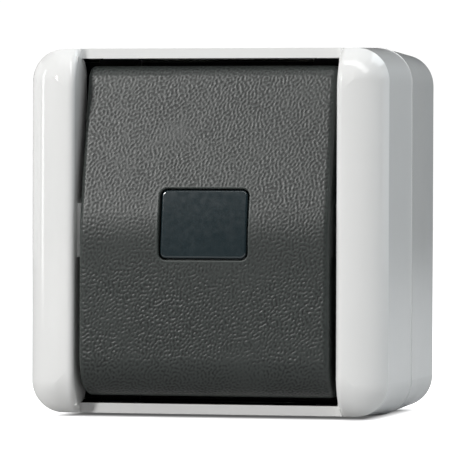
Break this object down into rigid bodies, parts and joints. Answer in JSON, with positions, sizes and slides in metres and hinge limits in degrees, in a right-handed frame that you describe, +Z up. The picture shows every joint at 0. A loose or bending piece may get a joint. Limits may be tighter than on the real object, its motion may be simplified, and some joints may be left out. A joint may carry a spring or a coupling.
{
  "type": "surface-mounted pushbutton switch",
  "caption": "Surface-mounted splash-proof pushbutton switch: light grey two-shell housing with side bars and a dark grained rocker with a smooth window.",
  "frame": {"origin": "centre of the back face, which lies on the wall", "axes": "+Y into the wall, so the front looks along -Y; +Z up; +X to the right seen from the front"},
  "size_m": [0.0752, 0.0537, 0.0752],
  "materials": {
    "housing": "light grey moulded plastic, glossy",
    "rocker_plastic": "dark grey moulded plastic with a leather grain",
    "lens": "smooth dark blue-grey plastic",
    "seal": "soft black rubber",
    "grommet": "soft grey rubber",
    "black_plastic": "black moulded plastic",
    "insulator": "cream thermosetting plastic",
    "white_plastic": "natural white plastic",
    "zinc_plate": "zinc-plated sheet steel",
    "steel": "zinc-plated steel",
    "spring_steel": "drawn spring wire",
    "brass": "bare brass",
    "silver": "silver contact alloy"
  },
  "bodies": {
    "housing": {"base_box": "housing", "housing_gasket": "seal", "front_cover": "housing", "cover_screws": "steel", "cable_grommet": "grommet", "cable_plug": "grommet", "drain_plug": "grommet", "membrane_frame": "black_plastic", "sealing_membrane": "seal", "mounting_plate": "zinc_plate", "plate_screws": "steel", "mechanism_base": "insulator", "mechanism_walls": "insulator", "mechanism_cover": "insulator", "mechanism_rivets": "brass", "fixed_contacts": "brass", "fixed_contact_tips": "silver", "terminal_clamps": "brass", "terminal_screws": "steel", "earth_terminal": "brass", "earth_screw": "steel", "pivot_pins": "steel"},
    "rocker": {"rocker": "rocker_plastic", "window_lens": "lens"},
    "plunger": {"plunger": "white_plastic", "contact_bridge": "brass", "bridge_contact_tips": "silver", "contact_spring": "spring_steel", "return_spring": "spring_steel", "plunger_boot": "seal"}
  },
  "joints": [
    {"name": "rocker_hinge", "type": "hinge", "parent": "housing", "child": "rocker", "pos_m": [0, -0.045, 0.0005], "axis": [1, 0, 0], "range_deg": [0, 6], "stiffness_Nm_per_rad": 0.6, "springref_deg": -5.73},
    {"name": "plunger_slide", "type": "slide", "parent": "housing", "child": "plunger", "axis": [0, 1, 0], "range_m": [0, 0.0015], "deforming": ["return_spring", "plunger_boot"]}
  ],
  "couplings": [
    {"joint": "plunger_slide", "follows": "rocker_hinge", "m_per_rad": 0.0135}
  ]
}
